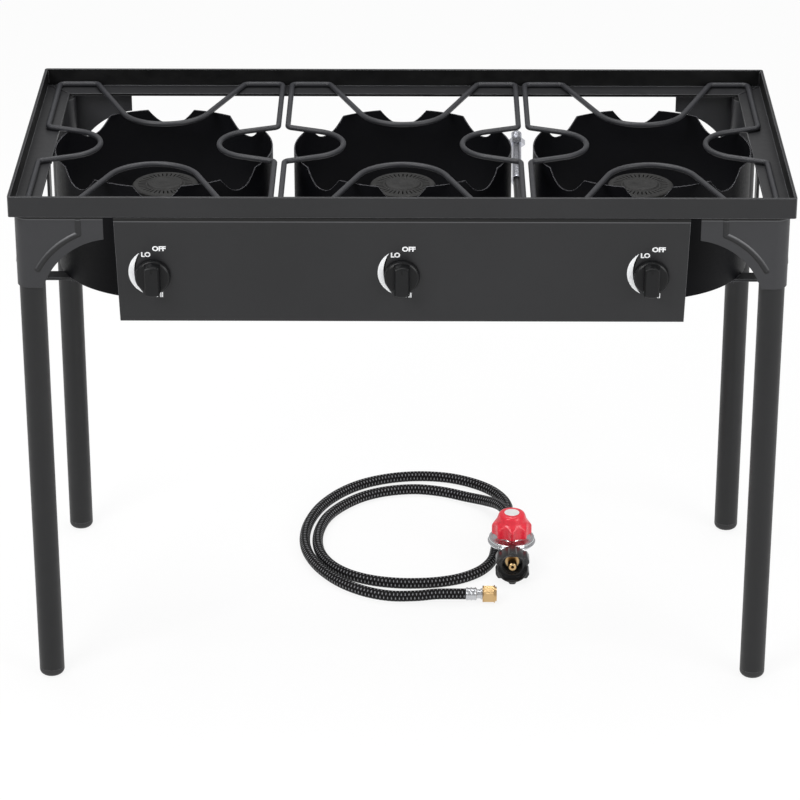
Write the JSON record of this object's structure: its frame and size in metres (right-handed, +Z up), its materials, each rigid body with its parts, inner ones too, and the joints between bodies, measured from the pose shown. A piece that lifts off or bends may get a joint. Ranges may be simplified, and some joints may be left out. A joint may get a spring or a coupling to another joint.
{
  "type": "propane burner stand",
  "caption": "Free-standing propane burner stand: angle-steel rim on removable tube legs, windshield drums under rod pot grates, a front panel with gas knobs, and a hose with regulator.",
  "frame": {"origin": "floor level under the middle of the top frame", "axes": "+X along the stand to the right as seen from the knobs, -Y to the front where the knobs are, +Z up"},
  "size_m": [1.1, 0.7011, 0.775],
  "materials": {
    "frame_paint": "satin black powder coat",
    "bracket_paint": "satin black powder coat",
    "leg_paint": "satin black powder coat",
    "glide_plastic": "matt moulded plastic",
    "black_screw": "black oxide",
    "drum_enamel": "semi-gloss heat-proof enamel",
    "grate_paint": "matt heat-proof paint",
    "burner_iron": "rough cast, black",
    "zinc_plate": "zinc plated",
    "valve_brass": "machined brass",
    "inlet_steel": "bright plated",
    "knob_plastic": "matt moulded plastic",
    "regulator_cast": "satin die cast",
    "red_plastic": "glossy moulded plastic",
    "nut_plastic": "moulded plastic",
    "hose_rubber": "smooth black rubber"
  },
  "bodies": {
    "stand": {"rail_front": "frame_paint", "rail_rear": "frame_paint", "rail_left": "frame_paint", "rail_right": "frame_paint", "bracket_front_left": "bracket_paint", "bracket_front_right": "bracket_paint", "bracket_rear_left": "bracket_paint", "bracket_rear_right": "bracket_paint", "control_panel": "frame_paint", "support_bars": "frame_paint", "wind_guard_left": "drum_enamel", "wind_guard_centre": "drum_enamel", "wind_guard_right": "drum_enamel", "burner_left": "burner_iron", "burner_centre": "burner_iron", "burner_right": "burner_iron", "burner_cap_left": "burner_iron", "burner_cap_centre": "burner_iron", "burner_cap_right": "burner_iron", "valve_left": "valve_brass", "valve_centre": "valve_brass", "valve_right": "valve_brass", "gas_jets": "valve_brass", "manifold_pipe": "frame_paint", "feed_pipe": "frame_paint", "inlet_tube": "inlet_steel", "inlet_fitting": "inlet_steel", "burner_bolts": "zinc_plate", "guard_bolts": "zinc_plate", "regulator_body": "regulator_cast", "tank_nipple": "valve_brass", "hose_ferrules": "zinc_plate", "hose": "hose_rubber"},
    "knob_left_body": {"knob_left": "knob_plastic", "valve_stem_left": "valve_brass"},
    "knob_centre_body": {"knob_centre": "knob_plastic", "valve_stem_centre": "valve_brass"},
    "knob_right_body": {"knob_right": "knob_plastic", "valve_stem_right": "valve_brass"},
    "air_shutter_left_body": {"air_shutter_left": "zinc_plate"},
    "air_shutter_centre_body": {"air_shutter_centre": "zinc_plate"},
    "air_shutter_right_body": {"air_shutter_right": "zinc_plate"},
    "grate_left_body": {"grate_left": "grate_paint"},
    "grate_centre_body": {"grate_centre": "grate_paint"},
    "grate_right_body": {"grate_right": "grate_paint"},
    "leg_front_left_body": {"leg_front_left": "leg_paint", "glide_front_left": "glide_plastic"},
    "leg_front_right_body": {"leg_front_right": "leg_paint", "glide_front_right": "glide_plastic"},
    "leg_rear_left_body": {"leg_rear_left": "leg_paint", "glide_rear_left": "glide_plastic"},
    "leg_rear_right_body": {"leg_rear_right": "leg_paint", "glide_rear_right": "glide_plastic"},
    "leg_screw_front_left_body": {"leg_screw_front_left": "black_screw"},
    "leg_screw_front_right_body": {"leg_screw_front_right": "black_screw"},
    "leg_screw_rear_left_body": {"leg_screw_rear_left": "black_screw"},
    "leg_screw_rear_right_body": {"leg_screw_rear_right": "black_screw"},
    "regulator_knob_body": {"regulator_knob": "red_plastic"},
    "tank_nut_body": {"tank_nut": "nut_plastic"},
    "flare_nut_body": {"flare_nut": "valve_brass"}
  },
  "joints": [
    {"name": "knob_turn_left", "type": "hinge", "parent": "stand", "child": "knob_left_body", "pos_m": [-0.35, -0.28, 0.6575], "axis": [0, -1, 0], "range_deg": [0, 180]},
    {"name": "knob_turn_centre", "type": "hinge", "parent": "stand", "child": "knob_centre_body", "pos_m": [0, -0.28, 0.6575], "axis": [0, -1, 0], "range_deg": [0, 180]},
    {"name": "knob_turn_right", "type": "hinge", "parent": "stand", "child": "knob_right_body", "pos_m": [0.35, -0.28, 0.6575], "axis": [0, -1, 0], "range_deg": [0, 180]},
    {"name": "air_shutter_turn_left", "type": "hinge", "parent": "stand", "child": "air_shutter_left_body", "pos_m": [-0.35, -0.1989, 0.6575], "axis": [0, -1, 0], "range_deg": [0, 60]},
    {"name": "air_shutter_turn_centre", "type": "hinge", "parent": "stand", "child": "air_shutter_centre_body", "pos_m": [0, -0.1989, 0.6575], "axis": [0, -1, 0], "range_deg": [0, 60]},
    {"name": "air_shutter_turn_right", "type": "hinge", "parent": "stand", "child": "air_shutter_right_body", "pos_m": [0.35, -0.1989, 0.6575], "axis": [0, -1, 0], "range_deg": [0, 60]},
    {"name": "grate_lift_left", "type": "slide", "parent": "stand", "child": "grate_left_body", "axis": [0, 0, 1], "range_m": [0, 0.08]},
    {"name": "grate_lift_centre", "type": "slide", "parent": "stand", "child": "grate_centre_body", "axis": [0, 0, 1], "range_m": [0, 0.08]},
    {"name": "grate_lift_right", "type": "slide", "parent": "stand", "child": "grate_right_body", "axis": [0, 0, 1], "range_m": [0, 0.08]},
    {"name": "leg_pull_front_left", "type": "slide", "parent": "stand", "child": "leg_front_left_body", "axis": [0, 0, -1], "range_m": [0, 0.125]},
    {"name": "leg_pull_front_right", "type": "slide", "parent": "stand", "child": "leg_front_right_body", "axis": [0, 0, -1], "range_m": [0, 0.125]},
    {"name": "leg_pull_rear_left", "type": "slide", "parent": "stand", "child": "leg_rear_left_body", "axis": [0, 0, -1], "range_m": [0, 0.125]},
    {"name": "leg_pull_rear_right", "type": "slide", "parent": "stand", "child": "leg_rear_right_body", "axis": [0, 0, -1], "range_m": [0, 0.125]},
    {"name": "leg_screw_turn_front_left", "type": "hinge", "parent": "stand", "child": "leg_screw_front_left_body", "pos_m": [-0.48845, -0.20345, 0.673], "axis": [0.7071, 0.7071, 0], "range_deg": [0, 720]},
    {"name": "leg_screw_turn_front_right", "type": "hinge", "parent": "stand", "child": "leg_screw_front_right_body", "pos_m": [0.48845, -0.20345, 0.673], "axis": [-0.7071, 0.7071, 0], "range_deg": [0, 720]},
    {"name": "leg_screw_turn_rear_left", "type": "hinge", "parent": "stand", "child": "leg_screw_rear_left_body", "pos_m": [-0.48845, 0.20345, 0.673], "axis": [0.7071, -0.7071, 0], "range_deg": [0, 720]},
    {"name": "leg_screw_turn_rear_right", "type": "hinge", "parent": "stand", "child": "leg_screw_rear_right_body", "pos_m": [0.48845, 0.20345, 0.673], "axis": [-0.7071, -0.7071, 0], "range_deg": [0, 720]},
    {"name": "regulator_knob_turn", "type": "hinge", "parent": "stand", "child": "regulator_knob_body", "pos_m": [0.172, 0.115, 0.072], "axis": [0, 0, 1], "range_deg": [-300, 0]},
    {"name": "tank_nut_turn", "type": "hinge", "parent": "stand", "child": "tank_nut_body", "pos_m": [0.172, 0.055, 0.029], "axis": [0, 1, 0], "continuous": true},
    {"name": "flare_nut_turn", "type": "hinge", "parent": "stand", "child": "flare_nut_body", "pos_m": [0.135, -0.02, 0.0155], "axis": [1, 0, 0], "continuous": true}
  ]
}
